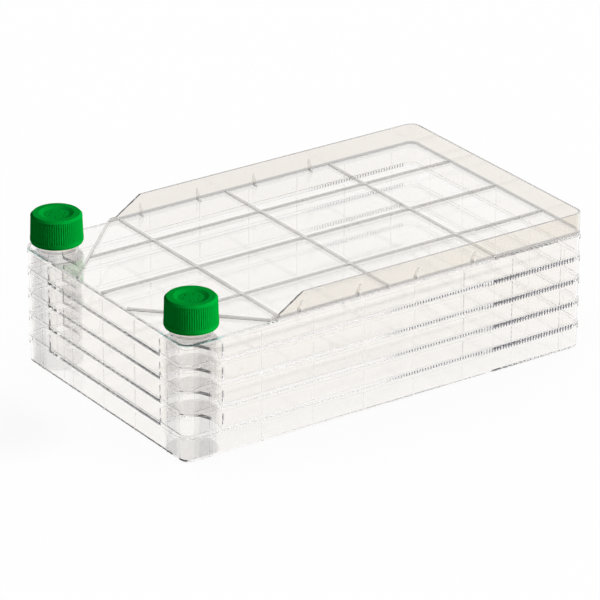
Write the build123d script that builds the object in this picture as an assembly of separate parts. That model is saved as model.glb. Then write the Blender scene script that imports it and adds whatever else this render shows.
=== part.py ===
from build123d import *
import os
from math import cos, pi, radians, sin, tan

# A multilayer cell culture stack in clear polystyrene: five shallow trays welded on top of each
# other, a ribbed lid with two screw necks, and a vented screw cap on each neck.
# Millimetres. Origin at the centre of the bottom face, +X along the length away from the ports,
# +Z up. The near port is on the -Y side and the far port on the +Y side.

# Outline of the stack, over the weld flanges
tray_count = 5
stack_length = 338.0
stack_width = 206.3
layer_pitch = 17.3
corner_radius = 8.5

# Tray mouldings
floor_thickness = 1.8
foot_height = 3.2
wall_thickness = 1.6
wall_draft = 0.8
flange_reach = 0.7
lip_height = 2.4
base_chamfer = 1.0

# Upright ribs on the outside of the tray walls
wall_rib_width = 0.9
wall_rib_reach = 0.4
side_rib_start = 20.74
side_rib_count = 8
end_rib_start = 22.75
end_rib_count = 5

# Ports, and the wells that join the layers below them
port_inset_x = 17.5
port_inset_y = 17.75
well_radius = 15.8
well_lean = 8.5
dam_thickness = 1.6
dam_height = 12.6
tab_depth = 2.0

# Lid plate and its grid of ribs
plate_thickness = 1.5
grid_rib_width = 1.5
grid_rib_height = 1.9
cross_rib_pitch = 90.6
long_rib_pitch = 55.6
diagonal_start = 31.0
crossing_radius = 1.5

# Rim that stands up round the far part of the lid
rim_height = 17.3
rim_thickness = 1.6
rim_full_from = 97.0
rim_foot_from = 76.6
rim_end_from = 71.7
rim_foot_height = 4.4
gusset_pitch = 48.6
gusset_count = 4
gusset_thickness = 1.4
gusset_depth = 5.0
gusset_height = 12.4

# Screw necks
neck_radius = 15.0
neck_wall = 2.2
neck_showing = 6.8

# Vented screw caps
cap_radius = 18.8
cap_top_radius = 18.1
cap_height = 21.3
cap_bore_radius = 16.8
crown_thickness = 2.6
crown_round = 1.6
recess_radius = 12.35
recess_floor_radius = 9.1
recess_depth = 1.2
vent_hole_radius = 0.8
vent_hole_circle = 5.6
vent_hole_count = 6
vent_hole_turn = 46.0
lip_band_height = 1.2
band_height = 3.7
band_step = 0.5
knurl_count = 72
knurl_depth = 0.45
knurl_top_gap = 2.0
knurl_backing = 0.6
crown_overhang = 0.05

# Seal ring and vent membrane inside each cap
seal_thickness = 1.0
seal_inner_radius = 12.2
seal_clearance = 0.5
membrane_thickness = 0.3
membrane_clearance = 0.3

# Places that follow from the sizes above
wall_inset = flange_reach
inner_inset = flange_reach + wall_thickness
port_x = -stack_length / 2 + port_inset_x
port_y = stack_width / 2 - port_inset_y
lid_z = tray_count * layer_pitch
cap_z = lid_z + neck_showing
cap_slope = (cap_radius - cap_top_radius) / cap_height
grip_radius = cap_radius - cap_slope * band_height
grip_height = cap_height - knurl_top_gap - band_height
grip_top_radius = grip_radius - cap_slope * grip_height
crown_radius = grip_top_radius + crown_overhang
neck_height = neck_showing + cap_height - crown_thickness - seal_thickness
port_sides = {"near": -1, "far": 1}


def plan(inset):
    """The stack's outline seen from above, moved in by inset."""
    return RectangleRounded(
        stack_length - 2 * inset, stack_width - 2 * inset, corner_radius - inset
    )


def band(low, high):
    """A flange all round the stack, from low to high."""
    return Pos(0, 0, low) * extrude(plan(0), high - low)


def spread(length, start, count):
    """Even places along a side of one length, the first and last the same way in from its ends."""
    pitch = (length - 2 * start) / (count - 1)
    return [start - length / 2 + n * pitch for n in range(count)]


def wall_ribs(low, high):
    """The upright ribs on all four walls of a tray."""
    height = high - low
    middle = (low + high) / 2
    end_x = stack_length / 2 - flange_reach
    side_y = stack_width / 2 - flange_reach
    side_rib = Box(wall_rib_width, 2 * wall_rib_reach, height)
    end_rib = Box(2 * wall_rib_reach, wall_rib_width, height)
    ribs = []
    for side in (-1, 1):
        for x in spread(stack_length, side_rib_start, side_rib_count):
            ribs.append(Pos(x, side * side_y, middle) * side_rib)
        for y in spread(stack_width, end_rib_start, end_rib_count):
            ribs.append(Pos(side * end_x, y, middle) * end_rib)
    return ribs


def well_outline(radius):
    """Plan of the bay round the near port: an arc about the port's axis, with two sides that
    lean towards the corner of the stack and run out past its walls."""
    lean = radians(well_lean)
    axis = Vector(port_x, -port_y)
    run_out = 2 * max(port_inset_x, port_inset_y)
    side_start = axis + Vector(cos(lean), -sin(lean)) * radius
    side_end = side_start + Vector(-sin(lean), -cos(lean)) * run_out
    end_start = axis + Vector(-sin(lean), cos(lean)) * radius
    end_end = end_start + Vector(-cos(lean), -sin(lean)) * run_out
    arc_middle = axis + Vector(1, 1).normalized() * radius
    bay = ThreePointArc(side_start, arc_middle, end_start)
    rest = Polyline(end_start, end_end, (end_end.X, side_end.Y), side_end, side_start)
    return make_face([bay, rest])


def corner_tab(inset):
    """Plan of the scrap of floor that stays in the corner of the stack, behind the well."""
    inner_corner_radius = corner_radius - inset
    middle = Vector(corner_radius - stack_length / 2, corner_radius - stack_width / 2)
    reach = 2 * inner_corner_radius - tab_depth
    centre = middle + Vector(-1, -1).normalized() * reach
    size = 2 * inner_corner_radius
    return Pos(centre.X, centre.Y) * Rot(0, 0, 45) * Rectangle(size, size)


def tray(is_bottom):
    """One tray, with its underside at z = 0. All but the bottom one have a foot flange, and at
    each port a hole in the floor with a dam standing round it."""
    drawn_in = layer_pitch * tan(radians(wall_draft))
    body = extrude(plan(wall_inset + drawn_in), layer_pitch, taper=-wall_draft)
    if is_bottom:
        bottom_edges = body.edges().filter_by_position(Axis.Z, -0.01, 0.01)
        body = chamfer(bottom_edges, base_chamfer)
    else:
        body += band(0, foot_height)
    lip_low = layer_pitch - lip_height
    body += band(lip_low, layer_pitch)
    rib_low = base_chamfer if is_bottom else foot_height
    body += wall_ribs(rib_low, lip_low)

    floor_drawn_in = (layer_pitch - floor_thickness) * tan(radians(wall_draft))
    floor_plan = plan(inner_inset + floor_drawn_in)
    cavity_height = layer_pitch - floor_thickness
    body -= Pos(0, 0, floor_thickness) * extrude(floor_plan, cavity_height, taper=-wall_draft)
    if is_bottom:
        return body

    hole = (well_outline(well_radius) & floor_plan) - corner_tab(inner_inset + floor_drawn_in)
    dam = well_outline(well_radius + dam_thickness) - well_outline(well_radius)
    dam = dam & plan(inner_inset - wall_thickness / 2)
    near_hole = extrude(hole, floor_thickness)
    near_dam = extrude(dam, dam_height)
    body += [near_dam, mirror(near_dam, Plane.XZ)]
    body -= [near_hole, mirror(near_hole, Plane.XZ)]
    return body


def rim():
    """The upstanding rim on the long sides and the far end of the lid, sloped down and ended
    at the port end."""
    low_end = -stack_length / 2
    ring = extrude(plan(wall_inset) - plan(wall_inset + rim_thickness), rim_height)
    above = rim_height + 1
    cut_profile = Polyline(
        (2 * low_end, plate_thickness),
        (low_end + rim_end_from, plate_thickness),
        (low_end + rim_end_from, rim_foot_height),
        (low_end + rim_foot_from, rim_foot_height),
        (low_end + rim_full_from, rim_height),
        (low_end + rim_full_from, above),
        (2 * low_end, above),
        close=True,
    )
    cut = extrude(make_face(Plane.XZ * cut_profile), stack_width / 2 + 1, both=True)
    return ring - cut


def gussets():
    """The three-cornered stiffeners inside both long sides of the rim."""
    face_y = stack_width / 2 - wall_inset - rim_thickness / 2
    foot = plate_thickness / 2
    outline = Polyline(
        (face_y, foot),
        (face_y - rim_thickness / 2 - gusset_depth, foot),
        (face_y - rim_thickness / 2 - gusset_depth, plate_thickness),
        (face_y, gusset_height),
        close=True,
    )
    plate = extrude(make_face(Plane.YZ * outline), gusset_thickness / 2, both=True)
    pieces = []
    for n in range(gusset_count):
        x = (n - (gusset_count - 1) / 2) * gusset_pitch
        pieces.append(Pos(x, 0, 0) * plate)
        pieces.append(Pos(x, 0, 0) * mirror(plate, Plane.XZ))
    return pieces


def grid_ribs():
    """The ribs on top of the lid: three across, three along, and one across each port corner."""
    inner_x = stack_length / 2 - wall_inset - rim_thickness / 2
    inner_y = stack_width / 2 - wall_inset - rim_thickness / 2
    edge_x = stack_length / 2 - flange_reach
    rib_z = plate_thickness + grid_rib_height / 2
    pieces = []
    for n in (-1, 0, 1):
        rib = Box(grid_rib_width, 2 * inner_y, grid_rib_height)
        pieces.append(Pos(n * cross_rib_pitch, 0, rib_z) * rib)
    for n in (-1, 0, 1):
        y = n * long_rib_pitch
        start = -edge_x if n == 0 else abs(y) - diagonal_start - stack_length / 2
        rib = Box(inner_x - start, grid_rib_width, grid_rib_height)
        pieces.append(Pos((inner_x + start) / 2, y, rib_z) * rib)
    for m in (-1, 0, 1):
        for n in (-1, 0, 1):
            boss = Cylinder(crossing_radius, grid_rib_height)
            pieces.append(Pos(m * cross_rib_pitch, n * long_rib_pitch, rib_z) * boss)

    first = Vector(-edge_x, -diagonal_start - flange_reach)
    last = Vector(inner_y - diagonal_start - stack_length / 2, -inner_y)
    middle = (first + last) * 0.5
    rib = Box((last - first).length, grid_rib_width, grid_rib_height)
    diagonal = Pos(middle.X, middle.Y, rib_z) * Rot(0, 0, -45) * rib
    pieces.append(diagonal)
    pieces.append(mirror(diagonal, Plane.XZ))
    return pieces


def lid():
    """The top plate with its edge flange, rib grid, rim, gussets and two screw necks."""
    body = band(0, plate_thickness)
    body += rim()
    body += gussets()
    body += grid_ribs()
    for side in port_sides.values():
        at_port = Pos(port_x, side * port_y, 0)
        body += at_port * extrude(Circle(neck_radius), neck_height)
    for side in port_sides.values():
        at_port = Pos(port_x, side * port_y, 0)
        body -= at_port * extrude(Circle(neck_radius - neck_wall), neck_height)
    return body


def knurl_outline(radius):
    """The zigzag outline of the cap's grip, with its crests at one radius."""
    corners = []
    for n in range(2 * knurl_count):
        reach = radius if n % 2 == 0 else radius - knurl_depth
        angle = pi * n / knurl_count
        corners.append((reach * cos(angle), reach * sin(angle)))
    return make_face(Polyline(*corners, close=True))


def knurl():
    """The grip round the cap's skirt: a ring of fine upright ridges that follows its taper."""
    foot = knurl_outline(grip_radius)
    head = Pos(0, 0, grip_height) * knurl_outline(grip_top_radius)
    ridges = loft([foot, head], ruled=True)
    hollow = extrude(Circle(cap_bore_radius + knurl_backing / 2), grip_height)
    return Pos(0, 0, band_height) * (ridges - hollow)


def cap():
    """A vented screw cap, with its lower edge at z = 0 and its axis on Z."""
    crown_z = cap_height - crown_thickness
    recess_z = cap_height - recess_depth
    grip_top = band_height + grip_height
    profile = Polyline(
        (cap_bore_radius, 0),
        (cap_radius - band_step, 0),
        (cap_radius - band_step, lip_band_height),
        (cap_radius, lip_band_height),
        (cap_radius, band_height),
        (cap_bore_radius + knurl_backing, band_height),
        (cap_bore_radius + knurl_backing, grip_top),
        (crown_radius, grip_top),
        (crown_radius, cap_height - crown_round),
        (crown_radius - crown_round, cap_height),
        (recess_radius, cap_height),
        (recess_floor_radius, recess_z),
        (0, recess_z),
        (0, crown_z),
        (cap_bore_radius, crown_z),
        close=True,
    )
    shell = revolve(make_face(Plane.XZ * profile), Axis.Z)
    shell += knurl()
    for n in range(vent_hole_count):
        angle = radians(vent_hole_turn) + 2 * pi * n / vent_hole_count
        at_hole = Pos(vent_hole_circle * cos(angle), vent_hole_circle * sin(angle), crown_z)
        shell -= at_hole * extrude(Circle(vent_hole_radius), crown_thickness)
    return shell


def seal_ring():
    """The soft ring between the neck's end and the cap, with its upper face at z = 0."""
    outline = Circle(cap_bore_radius - seal_clearance) - Circle(seal_inner_radius)
    return extrude(outline, -seal_thickness)


def membrane():
    """The vent membrane bonded under the cap's holes, with its upper face at z = 0."""
    return extrude(Circle(seal_inner_radius - membrane_clearance), -membrane_thickness)


os.makedirs("parts", exist_ok=True)
upper_tray = tray(is_bottom=False)
export_step(tray(is_bottom=True), "parts/tray_1.step")
for n in range(1, tray_count):
    export_step(Pos(0, 0, n * layer_pitch) * upper_tray, f"parts/tray_{n + 1}.step")
export_step(Pos(0, 0, lid_z) * lid(), "parts/lid.step")

cap_shell = cap()
under_crown_z = cap_z + cap_height - crown_thickness
for name, side in port_sides.items():
    at_port = Pos(port_x, side * port_y, 0)
    export_step(at_port * Pos(0, 0, cap_z) * cap_shell, f"parts/cap_{name}.step")
    export_step(at_port * Pos(0, 0, under_crown_z) * seal_ring(), f"parts/seal_ring_{name}.step")
    export_step(at_port * Pos(0, 0, under_crown_z) * membrane(), f"parts/vent_membrane_{name}.step")
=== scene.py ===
from math import pi, radians

import bmesh
import bpy
from mathutils import Matrix, Vector


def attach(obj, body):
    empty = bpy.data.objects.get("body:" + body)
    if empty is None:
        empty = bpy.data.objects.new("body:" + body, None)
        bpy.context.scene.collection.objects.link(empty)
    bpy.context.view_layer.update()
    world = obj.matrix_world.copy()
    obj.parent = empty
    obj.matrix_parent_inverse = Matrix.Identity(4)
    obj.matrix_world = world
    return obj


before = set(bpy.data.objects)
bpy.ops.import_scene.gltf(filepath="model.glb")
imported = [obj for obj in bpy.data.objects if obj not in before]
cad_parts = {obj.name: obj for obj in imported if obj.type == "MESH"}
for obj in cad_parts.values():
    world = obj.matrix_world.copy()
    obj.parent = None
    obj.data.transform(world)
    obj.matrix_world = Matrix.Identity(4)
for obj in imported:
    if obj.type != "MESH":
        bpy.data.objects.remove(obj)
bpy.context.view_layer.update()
mm = 0.001

# Trays: five shallow mouldings of crystal polystyrene, water clear with a faint warm cast. The
# melt flowed slightly unevenly, so walls ripple a little, and each tray is welded to the next.
tray_nodes = ["tray_1", "tray_2", "tray_3", "tray_4", "tray_5"]
layer_pitch = 17.3 * mm
stack_length = 338.0 * mm
stack_width = 206.3 * mm
corner_radius = 8.5 * mm
weld_width = 2.3 * mm
weld_gap = 0.01 * mm
melted_share = 0.4
port_x = -151.5 * mm
port_y = 85.4 * mm
dam_reach = 17.6 * mm
tone_fade = 0.3 * mm
ripple_depth = 0.1 * mm
polystyrene_index = 1.59
polystyrene_finish = ((0.996, 0.993, 0.988), (0.988, 0.984, 0.977), 18, 400, (0.0, 0.015), 0.05)
# Painted shade: upright walls are tinted a little warmer and darker than flat faces.
wall_painted_shade = (0.993, 0.982, 0.972, 1)
# Painted shade: grey laid on the dam walls round each port.
dam_painted_shade = (0.80, 0.79, 0.785, 1)


def step(nodes, kind, constants=None, **settings):
    """Adds one shader node, with its settings and the constants on its inputs."""
    node = nodes.new(f"ShaderNode{kind}")
    for setting, value in settings.items():
        setattr(node, setting, value)
    for socket, value in (constants or {}).items():
        node.inputs[socket].default_value = value
    return node


def link(nodes, source, output, target, socket):
    """Joins an output of one shader node to an input of another."""
    nodes.id_data.links.new(source.outputs[output], target.inputs[socket])


def shared_effect(name, colours_in=(), values_in=(), colours_out=(), values_out=()):
    """Starts a shader node group, with its inputs and outputs."""
    group = bpy.data.node_groups.new(name, "ShaderNodeTree")
    sockets = [
        ("INPUT", "NodeSocketColor", colours_in), ("INPUT", "NodeSocketFloat", values_in),
        ("OUTPUT", "NodeSocketColor", colours_out), ("OUTPUT", "NodeSocketFloat", values_out),
    ]
    for direction, kind, names in sockets:
        for socket in names:
            group.interface.new_socket(socket, in_out=direction, socket_type=kind)
    return group


def moulded_surface_group():
    """Two tones mixed by slow melt flow, fine uneven gloss, and a height for shallow ripple."""
    group = shared_effect(
        "moulded surface",
        colours_in=("Tone", "Second Tone"),
        values_in=("Flow Scale", "Grain Scale", "Smooth Gloss", "Worn Gloss"),
        colours_out=("Colour",),
        values_out=("Roughness", "Height"),
    )
    nodes = group.nodes
    inward = nodes.new("NodeGroupInput")
    outward = nodes.new("NodeGroupOutput")
    place = step(nodes, "TexCoord")
    flow = step(nodes, "TexNoise", {"Detail": 3, "Distortion": 0.8})
    grain = step(nodes, "TexNoise", {"Detail": 4})
    tones = step(nodes, "Mix", data_type="RGBA")
    gloss = step(nodes, "Mix", data_type="FLOAT")
    heights = step(nodes, "Math", {1: 0.15}, operation="MULTIPLY_ADD")
    link(nodes, place, "Object", flow, "Vector")
    link(nodes, place, "Object", grain, "Vector")
    link(nodes, inward, "Flow Scale", flow, "Scale")
    link(nodes, inward, "Grain Scale", grain, "Scale")
    link(nodes, flow, "Fac", tones, 0)
    link(nodes, inward, "Tone", tones, 6)
    link(nodes, inward, "Second Tone", tones, 7)
    link(nodes, grain, "Fac", gloss, 0)
    link(nodes, inward, "Smooth Gloss", gloss, 2)
    link(nodes, inward, "Worn Gloss", gloss, 3)
    link(nodes, grain, "Fac", heights, 0)
    link(nodes, flow, "Fac", heights, 2)
    link(nodes, tones, 2, outward, "Colour")
    link(nodes, gloss, 0, outward, "Roughness")
    link(nodes, heights, 0, outward, "Height")
    return group


moulded_surface = moulded_surface_group()


def moulded_plastic(name, tone, second_tone, flow, grain, gloss, ripple):
    """A material with the moulded surface behind its colour, gloss and ripple."""
    material = bpy.data.materials.new(name)
    material.use_nodes = True
    nodes = material.node_tree.nodes
    shader = nodes["Principled BSDF"]
    surface = step(nodes, "Group", node_tree=moulded_surface)
    surface.name = "surface"
    surface.inputs["Tone"].default_value = (*tone, 1)
    surface.inputs["Second Tone"].default_value = (*second_tone, 1)
    surface.inputs["Flow Scale"].default_value = flow
    surface.inputs["Grain Scale"].default_value = grain
    surface.inputs["Smooth Gloss"].default_value = gloss[0]
    surface.inputs["Worn Gloss"].default_value = gloss[1]
    bump = step(nodes, "Bump", {"Strength": ripple, "Distance": ripple_depth})
    link(nodes, surface, "Colour", shader, "Base Color")
    link(nodes, surface, "Roughness", shader, "Roughness")
    link(nodes, surface, "Height", bump, "Height")
    link(nodes, bump, "Normal", shader, "Normal")
    return material


def welded_faces_group():
    """Low where two mouldings are welded face to face, all round the stack at each layer, and 1
    elsewhere: the weld has melted part of each joint away."""
    group = shared_effect("welded faces", values_out=("Unwelded",))
    nodes = group.nodes
    outward = nodes.new("NodeGroupOutput")
    place = step(nodes, "TexCoord")
    straights = (stack_length / 2 - corner_radius, stack_width / 2 - corner_radius, 0)
    one_corner = step(nodes, "VectorMath", operation="ABSOLUTE")
    past_straights = step(nodes, "VectorMath", {1: straights}, operation="SUBTRACT")
    outside = step(nodes, "VectorMath", operation="MAXIMUM")
    flat = step(nodes, "VectorMath", {1: (1, 1, 0)}, operation="MULTIPLY")
    reach = step(nodes, "VectorMath", operation="LENGTH")
    near_edge = step(nodes, "Math", {1: corner_radius - weld_width}, operation="GREATER_THAN")
    axes = step(nodes, "SeparateXYZ")
    from_joint = step(nodes, "Math", {1: layer_pitch / 2}, operation="PINGPONG")
    at_joint = step(nodes, "Math", {1: weld_gap}, operation="LESS_THAN")
    above_base = step(nodes, "Math", {1: 0.5 * layer_pitch}, operation="GREATER_THAN")
    below_rim = step(nodes, "Math", {1: 5.5 * layer_pitch}, operation="LESS_THAN")
    in_plan = step(nodes, "Math", operation="MULTIPLY")
    in_height = step(nodes, "Math", operation="MULTIPLY")
    welded = step(nodes, "Math", operation="MULTIPLY")
    unwelded = step(nodes, "Math", {1: -melted_share, 2: 1}, operation="MULTIPLY_ADD")
    link(nodes, place, "Object", one_corner, 0)
    link(nodes, one_corner, 0, past_straights, 0)
    link(nodes, past_straights, 0, outside, 0)
    link(nodes, outside, 0, flat, 0)
    link(nodes, flat, 0, reach, 0)
    link(nodes, reach, "Value", near_edge, 0)
    link(nodes, place, "Object", axes, "Vector")
    link(nodes, axes, "Z", from_joint, 0)
    link(nodes, from_joint, 0, at_joint, 0)
    link(nodes, axes, "Z", above_base, 0)
    link(nodes, axes, "Z", below_rim, 0)
    link(nodes, near_edge, 0, in_plan, 0)
    link(nodes, at_joint, 0, in_plan, 1)
    link(nodes, above_base, 0, in_height, 0)
    link(nodes, below_rim, 0, in_height, 1)
    link(nodes, in_plan, 0, welded, 0)
    link(nodes, in_height, 0, welded, 1)
    link(nodes, welded, 0, unwelded, 0)
    link(nodes, unwelded, 0, outward, "Unwelded")
    return group


def upright_faces_group():
    """1 on walls and other steep faces, 0 on floors and other flat ones."""
    group = shared_effect("upright faces", values_out=("Upright",))
    nodes = group.nodes
    outward = nodes.new("NodeGroupOutput")
    place = step(nodes, "TexCoord")
    facing = step(nodes, "SeparateXYZ")
    flatness = step(nodes, "Math", operation="ABSOLUTE")
    upright = step(nodes, "MapRange", {"From Min": 0.8, "From Max": 0.2})
    link(nodes, place, "Normal", facing, "Vector")
    link(nodes, facing, "Z", flatness, 0)
    link(nodes, flatness, 0, upright, "Value")
    link(nodes, upright, "Result", outward, "Upright")
    return group


def port_distance_group():
    """How far a point lies from the upright axis of the nearer port."""
    group = shared_effect("port distance", values_out=("Distance",))
    nodes = group.nodes
    outward = nodes.new("NodeGroupOutput")
    place = step(nodes, "TexCoord")
    axes = step(nodes, "SeparateXYZ")
    either_side = step(nodes, "Math", operation="ABSOLUTE")
    flat = step(nodes, "CombineXYZ")
    distance = step(nodes, "VectorMath", {1: (port_x, port_y, 0)}, operation="DISTANCE")
    link(nodes, place, "Object", axes, "Vector")
    link(nodes, axes, "Y", either_side, 0)
    link(nodes, axes, "X", flat, "X")
    link(nodes, either_side, 0, flat, "Y")
    link(nodes, flat, 0, distance, 0)
    link(nodes, distance, "Value", outward, "Distance")
    return group


welded_faces = welded_faces_group()
upright_faces = upright_faces_group()
port_distance = port_distance_group()


def make_clear_with_wall_shade(material):
    """Turns a moulded plastic clear, with its welded faces partly melted away and painted shade on
    its upright walls, a tint a little warmer and darker than on its flat faces. Gives back the
    tone with the painted wall shade and the mask of upright faces."""
    nodes = material.node_tree.nodes
    shader = nodes["Principled BSDF"]
    shader.inputs["Transmission Weight"].default_value = 1.0
    shader.inputs["IOR"].default_value = polystyrene_index
    welds = step(nodes, "Group", node_tree=welded_faces)
    walls = step(nodes, "Group", node_tree=upright_faces)
    painted_wall_shade_tone = step(nodes, "Mix", data_type="RGBA", blend_type="MULTIPLY")
    # Painted shade: upright faces are multiplied a little warmer and darker.
    painted_wall_shade_tone.inputs[7].default_value = wall_painted_shade
    link(nodes, welds, "Unwelded", shader, "Alpha")
    link(nodes, walls, "Upright", painted_wall_shade_tone, 0)
    link(nodes, nodes["surface"], "Colour", painted_wall_shade_tone, 6)
    return painted_wall_shade_tone, walls


def finish_node(name, material):
    """Gives a carried-over solid its material."""
    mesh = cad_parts[name].data
    if len(mesh.materials) == 0:
        mesh.materials.append(material)
    for slot in range(len(mesh.materials)):
        mesh.materials[slot] = material


clear_polystyrene = moulded_plastic("clear polystyrene", *polystyrene_finish)
tray_tone_with_wall_shade, _ = make_clear_with_wall_shade(clear_polystyrene)
# The dams round the two ports are thick for their draft; their walls are painted grey, as painted
# shade.
tray_shades = clear_polystyrene.node_tree.nodes
from_port = step(tray_shades, "Group", node_tree=port_distance)
dam_shade_mask = step(tray_shades, "MapRange", {"From Min": dam_reach + tone_fade, "From Max": dam_reach})
tray_tone_and_shade = step(tray_shades, "Mix", data_type="RGBA")
# Painted shade: the dam walls near each port are coloured grey.
tray_tone_and_shade.inputs[7].default_value = dam_painted_shade
link(tray_shades, from_port, "Distance", dam_shade_mask, "Value")
link(tray_shades, dam_shade_mask, "Result", tray_tone_and_shade, 0)
link(tray_shades, tray_tone_with_wall_shade, 2, tray_tone_and_shade, 6)
link(tray_shades, tray_tone_and_shade, 2, tray_shades["Principled BSDF"], "Base Color")
for tray in tray_nodes:
    finish_node(tray, clear_polystyrene)

# Lid: one moulding of the same plastic. Its grid of ribs and its rim are painted darker than the
# plate between them, as painted shade; the rim's cut edge has the darkest painted shade, and
# beside each port the edge of the plate carries a painted reflection of the green cap above it.
rib_foot = 88.05 * mm
rib_fade = 0.2 * mm
rim_foot = 90.1 * mm
rim_fade = 0.6 * mm
neck_reach = 17.4 * mm
green_reach = 21.0 * mm
green_fade = 2.5 * mm
# Painted shade on the ribs, the rim walls and the rim's cut edge.
rib_painted_shade = (0.56, 0.55, 0.54, 1)
rim_wall_painted_shade = (0.90, 0.865, 0.815, 1)
cut_edge_painted_shade = (0.42, 0.41, 0.41, 1)
# Painted reflection of the green cap on the lid's edge beside each port.
painted_cap_reflection = (0.30, 0.80, 0.74, 1)

lid_polystyrene = moulded_plastic("clear lid polystyrene", *polystyrene_finish)
lid_tone_with_wall_shade, lid_walls = make_clear_with_wall_shade(lid_polystyrene)
lid_shades = lid_polystyrene.node_tree.nodes
lid_place = step(lid_shades, "TexCoord")
lid_axes = step(lid_shades, "SeparateXYZ")
above_plate = step(lid_shades, "MapRange", {"From Min": rib_foot, "From Max": rib_foot + rib_fade})
above_ribs = step(lid_shades, "MapRange", {"From Min": rim_foot, "From Max": rim_foot + rim_fade})
# Painted shade: dark on the rim's flat cut edge, beige-grey on its walls, grey on the ribs.
rim_shades = step(lid_shades, "Mix", data_type="RGBA")
rim_shades.inputs[6].default_value = cut_edge_painted_shade
rim_shades.inputs[7].default_value = rim_wall_painted_shade
standing_shades = step(lid_shades, "Mix", data_type="RGBA")
standing_shades.inputs[6].default_value = rib_painted_shade
lid_tone_and_shades = step(lid_shades, "Mix", data_type="RGBA")
link(lid_shades, lid_place, "Object", lid_axes, "Vector")
link(lid_shades, lid_axes, "Z", above_plate, "Value")
link(lid_shades, lid_axes, "Z", above_ribs, "Value")
link(lid_shades, lid_walls, "Upright", rim_shades, 0)
link(lid_shades, above_ribs, "Result", standing_shades, 0)
link(lid_shades, rim_shades, 2, standing_shades, 7)
link(lid_shades, above_plate, "Result", lid_tone_and_shades, 0)
link(lid_shades, lid_tone_with_wall_shade, 2, lid_tone_and_shades, 6)
link(lid_shades, standing_shades, 2, lid_tone_and_shades, 7)

from_neck = step(lid_shades, "Group", node_tree=port_distance)
beside_port = step(
    lid_shades, "MapRange", {"From Min": green_reach + green_fade, "From Max": green_reach}
)
past_neck = step(lid_shades, "Math", {1: neck_reach}, operation="GREATER_THAN")
round_neck = step(lid_shades, "Math", operation="MULTIPLY")
cap_reflection_mask = step(lid_shades, "Math", operation="MULTIPLY")
# Painted reflection: the lid's upright edge round each neck is tinted teal green.
lid_with_cap_reflection = step(lid_shades, "Mix", data_type="RGBA")
lid_with_cap_reflection.inputs[7].default_value = painted_cap_reflection
link(lid_shades, from_neck, "Distance", beside_port, "Value")
link(lid_shades, from_neck, "Distance", past_neck, 0)
link(lid_shades, beside_port, "Result", round_neck, 0)
link(lid_shades, past_neck, 0, round_neck, 1)
link(lid_shades, round_neck, 0, cap_reflection_mask, 0)
link(lid_shades, lid_walls, "Upright", cap_reflection_mask, 1)
link(lid_shades, cap_reflection_mask, 0, lid_with_cap_reflection, 0)
link(lid_shades, lid_tone_and_shades, 2, lid_with_cap_reflection, 6)
link(lid_shades, lid_with_cap_reflection, 2, lid_shades["Principled BSDF"], "Base Color")
finish_node("lid", lid_polystyrene)

# Weld teeth: a row of small teeth that melted in the weld between one tray and the next, just
# inside the flange along both long sides. Same polystyrene; here they are painted dark blue-grey
# as painted shade, fully away from the ports and fading out towards them.
tooth_pitch = 2.4 * mm
tooth_width = 0.9 * mm
tooth_depth = 0.15 * mm
tooth_height = 3.7 * mm
tooth_foot = -1.0 * mm
tooth_inset = 0.12 * mm
teeth_faint_to = 70 * mm
teeth_dark_from = 95 * mm


def make_piece(name, shape, material, body):
    """Closes off a mesh as a finished piece of the object, which rides one of its bodies."""
    bmesh.ops.recalc_face_normals(shape, faces=shape.faces)
    mesh = bpy.data.meshes.new(name)
    shape.to_mesh(mesh)
    shape.free()
    mesh.materials.append(material)
    piece = bpy.data.objects.new(name, mesh)
    bpy.context.scene.collection.objects.link(piece)
    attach(piece, body)


def row_of_teeth(shape, start, count):
    """Repeats one tooth along a long side of the stack."""
    tooth = bmesh.ops.create_cube(shape, size=1)["verts"]
    bmesh.ops.scale(shape, vec=(tooth_width, tooth_depth, tooth_height), verts=tooth)
    bmesh.ops.translate(shape, vec=start, verts=tooth)
    faces = list({face for corner in tooth for face in corner.link_faces})
    edges = list({edge for corner in tooth for edge in corner.link_edges})
    bmesh.ops.spin(
        shape, geom=tooth + edges + faces, cent=(0, 0, 0), axis=(0, 0, 1),
        dvec=(tooth_pitch, 0, 0), angle=0, steps=count - 1, use_duplicate=True,
    )


# Painted shade: dark blue-grey teeth, more opaque away from the ports.
weld_teeth_shade_material = moulded_plastic(
    "weld teeth painted shade", (0.16, 0.16, 0.21), (0.10, 0.10, 0.14), 40, 700, (0.3, 0.5), 0.3
)
weld_shades = weld_teeth_shade_material.node_tree.nodes
weld_place = step(weld_shades, "TexCoord")
weld_axes = step(weld_shades, "SeparateXYZ")
teeth_shade_cover = step(weld_shades, "MapRange", {
    "From Min": teeth_faint_to, "From Max": teeth_dark_from, "To Min": 0.02, "To Max": 0.8,
})
link(weld_shades, weld_place, "Object", weld_axes, "Vector")
link(weld_shades, weld_axes, "X", teeth_shade_cover, "Value")
link(weld_shades, teeth_shade_cover, "Result", weld_shades["Principled BSDF"], "Alpha")

tooth_count = int((stack_length - 2 * corner_radius) / tooth_pitch)
first_tooth_x = -(tooth_count - 1) * tooth_pitch / 2
tooth_y = stack_width / 2 - tooth_inset
for joint in range(1, len(tray_nodes)):
    teeth = bmesh.new()
    tooth_z = joint * layer_pitch + tooth_foot + tooth_height / 2
    for side in (-1, 1):
        row_of_teeth(teeth, (first_tooth_x, side * tooth_y, tooth_z), tooth_count)
    make_piece(f"weld_teeth_{joint}", teeth, weld_teeth_shade_material, "stack")

# Neck threads: a right-hand ridge moulded round the outside of each neck of the lid, clear like
# the rest of it, which the cap screws down on.
port_sides = {"near": -1, "far": 1}
thread_lead = 4.25 * mm
thread_root = 0.2 * mm
steps_a_turn = 48
cap_foot = 93.3 * mm
thread_foot = cap_foot + 5.2 * mm
neck_radius = 15.0 * mm
neck_ridge_reach = 1.1 * mm


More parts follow.
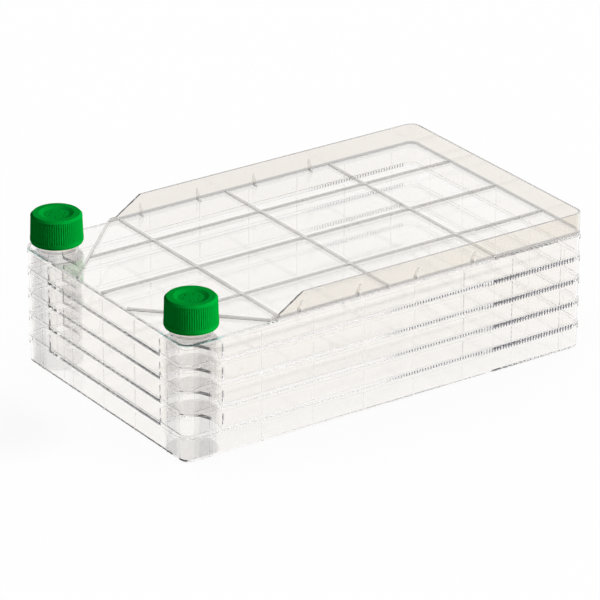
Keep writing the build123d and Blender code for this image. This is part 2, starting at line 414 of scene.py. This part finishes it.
def thread_ridge(axis_y, root, crest, foot_z, half_root, half_crest, turns):
    """A thread ridge of a trapezoid section wound about a port's axis."""
    ridge = bmesh.new()
    section = [
        (root, -half_root), (crest, -half_crest), (crest, half_crest), (root, half_root),
    ]
    corners = [ridge.verts.new((port_x + r, axis_y, foot_z + z)) for r, z in section]
    start = ridge.faces.new(corners)
    bmesh.ops.spin(
        ridge, geom=[start, *start.edges, *start.verts], cent=(port_x, axis_y, 0),
        axis=(0, 0, 1), dvec=(0, 0, thread_lead / steps_a_turn), angle=2 * pi * turns,
        steps=int(steps_a_turn * turns), use_duplicate=False,
    )
    return ridge


for side, sign in port_sides.items():
    ridge = thread_ridge(
        sign * port_y, neck_radius - thread_root, neck_radius + neck_ridge_reach,
        thread_foot, 0.95 * mm, 0.4 * mm, 2.25,
    )
    make_piece(f"neck_thread_{side}", ridge, clear_polystyrene, "stack")

# Vented screw caps: moulded of green pigmented plastic, satin, with a fine upright grip, six
# vent holes in a shallow dish, and inside a thread ridge half a lead above the neck's.
cap_bore = 16.8 * mm
cap_ridge_reach = 1.0 * mm

green_plastic = moulded_plastic(
    "green cap plastic", (0.0, 0.42, 0.045), (0.0, 0.36, 0.033), 120, 1400, (0.36, 0.5), 0.25
)
green_plastic.node_tree.nodes["Principled BSDF"].inputs["Specular IOR Level"].default_value = 0.0
for side, sign in port_sides.items():
    finish_node(f"cap_{side}", green_plastic)
    ridge = thread_ridge(
        sign * port_y, cap_bore + thread_root, cap_bore - cap_ridge_reach,
        thread_foot + thread_lead / 2, 0.9 * mm, 0.35 * mm, 2.0,
    )
    make_piece(f"cap_thread_{side}", ridge, green_plastic, f"cap_{side}")

# Seal rings and vent membranes: a soft white silicone ring that seals each neck's end, and a
# disc of matt white filter film bonded under each cap's vent holes.
seal_silicone = moulded_plastic(
    "seal silicone", (0.72, 0.72, 0.70), (0.66, 0.66, 0.64), 90, 900, (0.5, 0.65), 0.2
)
vent_film = moulded_plastic(
    "vent film", (0.80, 0.80, 0.78), (0.70, 0.70, 0.68), 700, 3000, (0.75, 0.9), 0.6
)
for side in port_sides:
    finish_node(f"seal_ring_{side}", seal_silicone)
    finish_node(f"vent_membrane_{side}", vent_film)

# Studio: a white floor that carries the stack's soft shadow, a surround that is white behind the
# stack and greyer on the near side, and one large soft lamp from the upper right.
floor_half_size = 6
floor_drop = 0.6 * mm
floor_lift_level = 0.698
surround_fill = 0.12
surround_near_side = 0.55
towards_back = (0.57, 0.82, 0.0)
towards_lamp = Vector((0.72, -0.78, 0.50))


def background_ray(nodes):
    """1 where the stage is seen straight on, in a gloss or through the clear plastic."""
    seen_by = step(nodes, "LightPath")
    straight_or_gloss = step(nodes, "Math", operation="MAXIMUM")
    any_of_three = step(nodes, "Math", operation="MAXIMUM")
    unscattered = step(nodes, "Math", {1: 0.5}, operation="LESS_THAN")
    seen = step(nodes, "Math", operation="MULTIPLY")
    link(nodes, seen_by, "Is Camera Ray", straight_or_gloss, 0)
    link(nodes, seen_by, "Is Glossy Ray", straight_or_gloss, 1)
    link(nodes, straight_or_gloss, 0, any_of_three, 0)
    link(nodes, seen_by, "Is Transmission Ray", any_of_three, 1)
    link(nodes, seen_by, "Diffuse Depth", unscattered, 0)
    link(nodes, any_of_three, 0, seen, 0)
    link(nodes, unscattered, 0, seen, 1)
    return seen


floor_shape = bmesh.new()
bmesh.ops.create_grid(floor_shape, x_segments=2, y_segments=2, size=floor_half_size)
bmesh.ops.translate(floor_shape, vec=(0, 0, -floor_drop), verts=floor_shape.verts)
floor_mesh = bpy.data.meshes.new("studio floor")
floor_shape.to_mesh(floor_mesh)
floor_shape.free()
floor = bpy.data.objects.new("studio_floor", floor_mesh)
bpy.context.scene.collection.objects.link(floor)
floor_white = bpy.data.materials.new("white floor")
floor_white.use_nodes = True
floor_shades = floor_white.node_tree.nodes
floor_shader = floor_shades["Principled BSDF"]
floor_shader.inputs["Base Color"].default_value = (0.5, 0.5, 0.5, 1)
floor_shader.inputs["Specular IOR Level"].default_value = 0.0
floor_shader.inputs["Emission Color"].default_value = (1, 1, 1, 1)
floor_lift = step(floor_shades, "Math", {1: floor_lift_level}, operation="MULTIPLY")
link(floor_shades, background_ray(floor_shades), 0, floor_lift, 0)
link(floor_shades, floor_lift, 0, floor_shader, "Emission Strength")
floor_mesh.materials.append(floor_white)

world = bpy.data.worlds.new("white surround")
world.use_nodes = True
bpy.context.scene.world = world
sky = world.node_tree.nodes
sky_place = step(sky, "TexCoord")
how_far_back = step(sky, "VectorMath", {1: towards_back}, operation="DOT_PRODUCT")
back_or_near = step(sky, "MapRange", {
    "From Min": -0.1, "From Max": 0.35, "To Min": surround_near_side, "To Max": 1.0,
})
sky_level = step(sky, "Mix", {2: surround_fill}, data_type="FLOAT")
link(sky, sky_place, "Generated", how_far_back, 0)
link(sky, how_far_back, "Value", back_or_near, "Value")
link(sky, background_ray(sky), 0, sky_level, 0)
link(sky, back_or_near, "Result", sky_level, 3)
link(sky, sky_level, 0, sky["Background"], "Strength")
sky["Background"].inputs["Color"].default_value = (1, 1, 1, 1)

lamp_light = bpy.data.lights.new("upper right lamp", "SUN")
lamp_light.energy = 3.5
lamp_light.angle = radians(40)
lamp = bpy.data.objects.new("upper right lamp", lamp_light)
bpy.context.scene.collection.objects.link(lamp)
lamp.visible_transmission = False
lamp.visible_glossy = False
lamp.rotation_euler = towards_lamp.to_track_quat("Z", "Y").to_euler()
for name in tray_nodes + ["lid"]:
    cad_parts[name].visible_shadow = False

# Camera: level with a standing viewer a few metres off the near port, through a long lens. Light
# bounces many times inside clear plastic, so no kind of bounce is cut short.
eye = Vector((-1.6098, -2.3236, 1.3186))
aim = Vector((0.0059, 0.0145, 0.0339))
roll = radians(0.124)
bounces = 64

camera_lens = bpy.data.cameras.new("camera")
camera_lens.sensor_width = 36
camera_lens.lens = 263.49
camera = bpy.data.objects.new("camera", camera_lens)
bpy.context.scene.collection.objects.link(camera)
turn = (eye - aim).to_track_quat("Z", "Y").to_matrix() @ Matrix.Rotation(roll, 3, "Z")
camera.matrix_world = Matrix.Translation(eye) @ turn.to_4x4()
bpy.context.scene.camera = camera
bpy.context.scene.view_settings.view_transform = "Standard"
bpy.context.scene.cycles.max_bounces = bounces
bpy.context.scene.cycles.transmission_bounces = bounces
bpy.context.scene.cycles.glossy_bounces = bounces
bpy.context.scene.cycles.transparent_max_bounces = bounces
